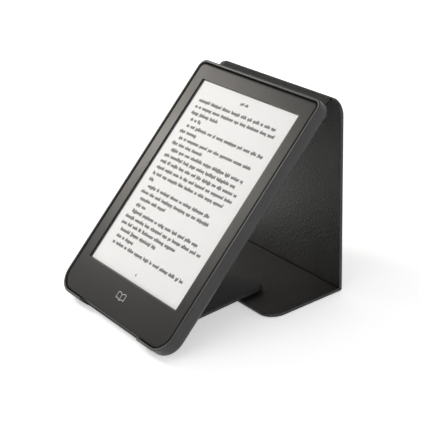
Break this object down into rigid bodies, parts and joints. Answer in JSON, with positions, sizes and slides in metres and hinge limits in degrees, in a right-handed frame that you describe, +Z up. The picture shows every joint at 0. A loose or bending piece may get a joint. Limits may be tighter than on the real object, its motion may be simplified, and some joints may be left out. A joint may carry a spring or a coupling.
{
  "type": "e-reader",
  "caption": "Six-inch e-reader snapped into the tray of a leather-look cover that flips over the top and folds into a reading stand.",
  "frame": {"origin": "on the table, at the centre of the object's footprint in its stand pose", "axes": "+X to the reader's right across the screen and along every hinge, -Y to the front, +Z up from the table"},
  "size_m": [0.1174, 0.1294, 0.1136],
  "materials": {
    "bezel_plastic": "fine matte texture",
    "case_plastic": "matte",
    "tray_plastic": "satin moulded",
    "cover_leather": "fine grained, matte",
    "cover_lining": "brushed microfibre",
    "cover_board": "raw",
    "clear_film": "anti-glare",
    "panel_white": "matte",
    "panel_glass": "polished",
    "black_foam": "matte",
    "chassis_metal": "stamped",
    "screw_steel": "plain",
    "board_green": "solder mask",
    "chip_black": "moulded",
    "port_steel": "plain",
    "pouch_foil": "foil laminate",
    "flex_amber": "polyimide",
    "tape_black": "matte",
    "connector_white": "moulded",
    "magnet_nickel": "nickel plated",
    "light_clear": "clear"
  },
  "bodies": {
    "reader": {"antenna": "flex_amber", "back_skin": "cover_leather", "backplane_glass": "panel_glass", "battery_connector": "connector_white", "battery_lead": "flex_amber", "battery_pouch": "pouch_foil", "battery_tape": "tape_black", "chassis_screw_1": "screw_steel", "chassis_screw_2": "screw_steel", "chassis_screw_3": "screw_steel", "chassis_screw_4": "screw_steel", "chassis_screw_5": "screw_steel", "chassis_screw_6": "screw_steel", "display_chassis": "chassis_metal", "display_connector": "connector_white", "display_flex": "flex_amber", "epaper_panel": "panel_white", "front_bezel": "bezel_plastic", "hall_sensor": "chip_black", "hinge_wrap": "cover_leather", "led_light_bar": "light_clear", "light_flex": "flex_amber", "light_guide": "clear_film", "main_board": "board_green", "memory_chip": "chip_black", "microsd_card": "chip_black", "microsd_socket": "port_steel", "power_chip": "chip_black", "power_switch": "port_steel", "processor": "chip_black", "processor_shield": "chassis_metal", "reader_rear_shell": "case_plastic", "screen_gasket": "black_foam", "status_light": "light_clear", "touch_film": "clear_film", "touch_flex": "flex_amber", "tray_shell": "tray_plastic", "usb_port": "port_steel", "wifi_module": "chassis_metal"},
    "power_button": {"power_button": "bezel_plastic"},
    "spine": {"spine_skin": "cover_leather", "spine_lining": "cover_lining"},
    "lid_upper": {"lid_upper_skin": "cover_leather", "lid_upper_board": "cover_board", "lid_upper_lining": "cover_lining", "lid_upper_magnet": "magnet_nickel"},
    "lid_lower": {"lid_lower_skin": "cover_leather", "lid_lower_board": "cover_board", "lid_lower_lining": "cover_lining", "lid_lower_magnet": "magnet_nickel"},
    "flap": {"flap_skin": "cover_leather", "flap_board": "cover_board", "flap_lining": "cover_lining", "flap_magnet": "magnet_nickel"}
  },
  "joints": [
    {"name": "spine_hinge", "type": "hinge", "parent": "reader", "child": "spine", "pos_m": [0, 0.05644, 0.11031], "axis": [1, 0, 0], "range_deg": [0, 138.2]},
    {"name": "lid_hinge", "type": "hinge", "parent": "spine", "child": "lid_upper", "pos_m": [0, 0.0639, 0.1096], "axis": [1, 0, 0], "range_deg": [0, 180]},
    {"name": "lid_crease", "type": "hinge", "parent": "lid_upper", "child": "lid_lower", "pos_m": [0, 0.0546, 0], "axis": [1, 0, 0], "range_deg": [0, 84.6]},
    {"name": "flap_hinge", "type": "hinge", "parent": "reader", "child": "flap", "pos_m": [0, -0.05298, 0.0021], "axis": [1, 0, 0], "range_deg": [0, 40.5]},
    {"name": "power_button_press", "type": "slide", "parent": "reader", "child": "power_button", "axis": [0, 0.7337, 0.6794], "range_m": [0, 0.0003], "stiffness_N_per_m": 3000, "springref_m": -0.0001}
  ]
}
